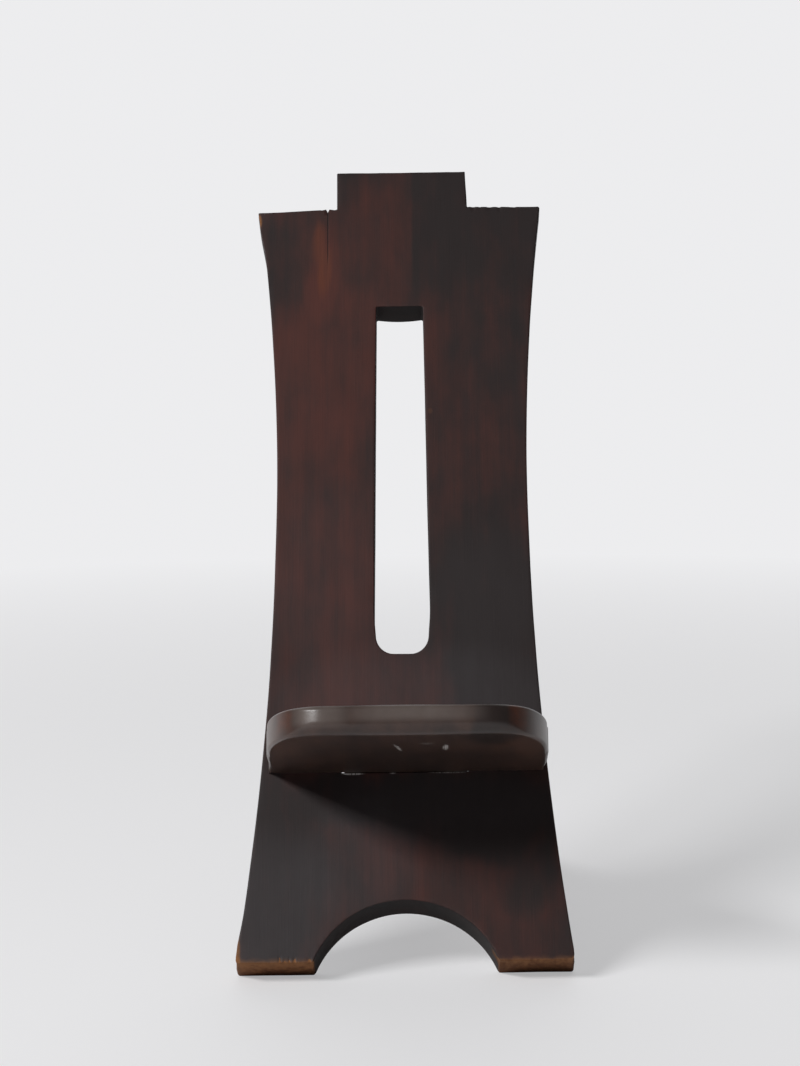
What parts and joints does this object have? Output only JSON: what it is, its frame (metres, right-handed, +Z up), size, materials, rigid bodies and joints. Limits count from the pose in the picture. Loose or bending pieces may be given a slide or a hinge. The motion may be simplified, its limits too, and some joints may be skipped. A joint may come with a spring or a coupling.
{
  "type": "carved wooden chair",
  "caption": "Carved wooden chair: a leaning, waisted back board with a long slot and an arched foot, pierced by a seat board whose tail passes through it down to the floor behind.",
  "frame": {"origin": "on the floor, under the middle of the chair's bounding box", "axes": "+Z up, +X to the left hand of someone sitting in it, -Y the way the sitter faces"},
  "size_m": [0.36, 0.8038, 0.8399],
  "materials": {
    "back_stain": "very dark brown stain, satin, cloudy reddish and black patches, bare end grain at the feet",
    "seat_stain": "very dark brown stain, hand-polished satin with worn arrises"
  },
  "bodies": {
    "back": {"back_board": "back_stain"},
    "seat": {"seat_board": "seat_stain"}
  },
  "joints": [
    {"name": "seat_draw", "type": "slide", "parent": "back", "child": "seat", "axis": [0, -0.9336, 0.3584], "range_m": [0, 0.62]}
  ]
}
